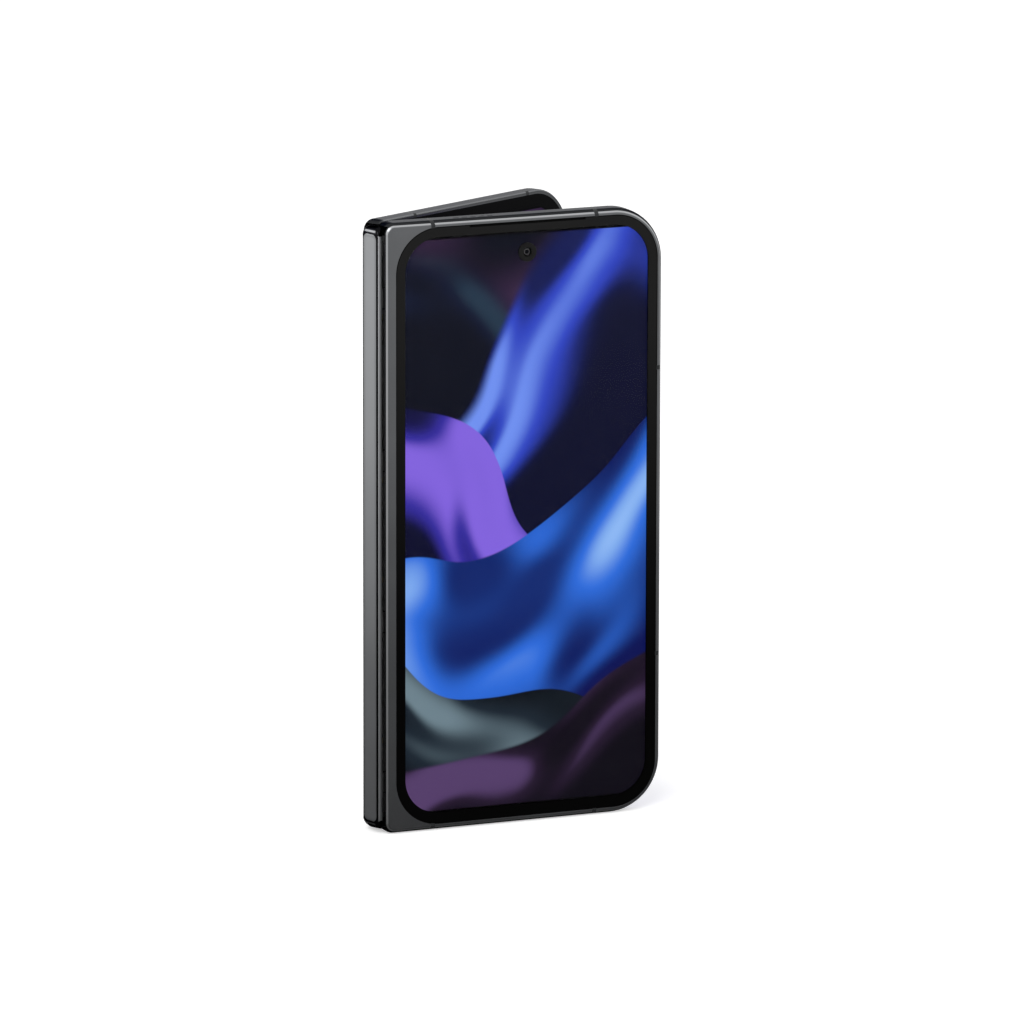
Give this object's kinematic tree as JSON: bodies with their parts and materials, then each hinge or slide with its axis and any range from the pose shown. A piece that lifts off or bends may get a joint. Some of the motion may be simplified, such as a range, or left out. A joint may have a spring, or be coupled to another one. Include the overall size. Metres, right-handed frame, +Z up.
{
  "type": "foldable smartphone",
  "caption": "Book-style folding phone standing on its base edges, part open, with a cover display, folding inner display, spine hinge and raised rear camera island.",
  "frame": {"origin": "centre of the front half's bottom edge, in the middle of its thickness", "axes": "+Z up along the hinge, +X from the hinge to the front half's free edge, -Y out of the cover display; stored opened to 27.5 degrees"},
  "size_m": [0.0785, 0.0441, 0.1552],
  "materials": {
    "graphite_metal": "satin, dark graphite",
    "spine_metal": "satin, dark graphite",
    "gloss_black": "gloss black",
    "band_plastic": "matte, dark grey",
    "cover_glass": "polished, clear over the display",
    "rear_glass": "fine satin, dark grey",
    "display": "lit display with a soft wallpaper of blues and violets",
    "lens_glass": "polished, dark",
    "camera_body": "matte black",
    "mesh_black": "fine mesh, black",
    "bezel_black": "satin black",
    "steel_plate": "brushed",
    "battery": "matte dark foil",
    "board": "green solder mask",
    "module_black": "matte black",
    "bright_steel": "satin steel",
    "hinge_steel": "machined steel",
    "friction_brass": "satin",
    "copper": "wound copper",
    "flash_lens": "clear over a pale diode"
  },
  "bodies": {
    "front_half": {"front_frame": "graphite_metal", "front_antenna_bands": "band_plastic", "cover_glass": "cover_glass", "cover_display": "display", "cover_camera": "camera_body", "earpiece_mesh": "mesh_black", "front_inner_bezel": "bezel_black", "front_inner_panel": "display", "front_display_plate": "steel_plate", "front_battery": "battery", "front_board": "board", "front_speaker": "module_black", "vibration_motor": "bright_steel", "front_magnets": "bright_steel", "front_screws": "bright_steel", "sim_reader": "bright_steel", "front_hinge_arms": "hinge_steel"},
    "sim_tray_body": {"sim_tray": "graphite_metal"},
    "front_wing": {"front_wing_plate": "steel_plate"},
    "spine": {"spine_cover": "spine_metal", "spine_end_caps": "gloss_black", "hinge_bases": "hinge_steel", "hinge_rods": "bright_steel", "hinge_springs": "bright_steel", "friction_blocks": "friction_brass", "spring_stops": "hinge_steel", "fold_display": "display"},
    "rear_half": {"rear_frame": "graphite_metal", "rear_antenna_bands": "band_plastic", "rear_glass": "rear_glass", "camera_island": "graphite_metal", "camera_windows": "lens_glass", "wide_camera": "camera_body", "main_camera": "camera_body", "tele_camera": "camera_body", "flash": "flash_lens", "inner_camera": "camera_body", "rear_inner_bezel": "bezel_black", "rear_inner_panel": "display", "rear_display_plate": "steel_plate", "rear_battery": "battery", "main_board": "board", "shield_cans": "bright_steel", "charging_coil": "copper", "usb_port": "bright_steel", "usb_tongue": "module_black", "rear_speaker": "module_black", "microphone": "friction_brass", "rear_magnets": "bright_steel", "rear_screws": "bright_steel", "rear_hinge_arms": "hinge_steel", "power_switch": "bright_steel", "volume_switches": "bright_steel"},
    "rear_wing": {"rear_wing_plate": "steel_plate"},
    "power_button_body": {"power_button": "graphite_metal"},
    "volume_rocker_body": {"volume_rocker": "graphite_metal"}
  },
  "joints": [
    {"name": "fold_front", "type": "hinge", "parent": "front_half", "child": "spine", "pos_m": [-0.03717, 0.00175, 0], "axis": [0, 0, 1], "range_deg": [-13.75, 76.25], "deforming": ["fold_display"]},
    {"name": "fold_rear", "type": "hinge", "parent": "spine", "child": "rear_half", "pos_m": [-0.03763, 0.0036, 0], "axis": [0, 0, 1], "range_deg": [-13.75, 76.25]},
    {"name": "wing_front", "type": "hinge", "parent": "front_half", "child": "front_wing", "pos_m": [-0.02987, 0.0016, 0], "axis": [0, 0, 1], "range_deg": [-7.62, 1.38]},
    {"name": "wing_rear", "type": "hinge", "parent": "rear_half", "child": "rear_wing", "pos_m": [-0.03122, 0.0071, 0], "axis": [0, 0, 1], "range_deg": [-1.38, 7.62]},
    {"name": "power_press", "type": "slide", "parent": "rear_half", "child": "power_button_body", "axis": [-0.887, -0.4617, 0], "range_m": [0, 0.00025], "stiffness_N_per_m": 400, "springref_m": -0.002},
    {"name": "volume_tilt", "type": "hinge", "parent": "rear_half", "child": "volume_rocker_body", "pos_m": [0.02653, 0.03935, 0.076], "axis": [-0.4617, 0.887, 0], "range_deg": [-1.1, 1.1], "stiffness_Nm_per_rad": 0.05},
    {"name": "sim_slide", "type": "slide", "parent": "front_half", "child": "sim_tray_body", "axis": [0, 0, -1], "range_m": [0, 0.016]}
  ],
  "couplings": [
    {"joint": "fold_rear", "follows": "fold_front", "ratio": 1},
    {"joint": "wing_front", "follows": "fold_front", "ratio": -0.1},
    {"joint": "wing_rear", "follows": "fold_front", "ratio": 0.1}
  ]
}
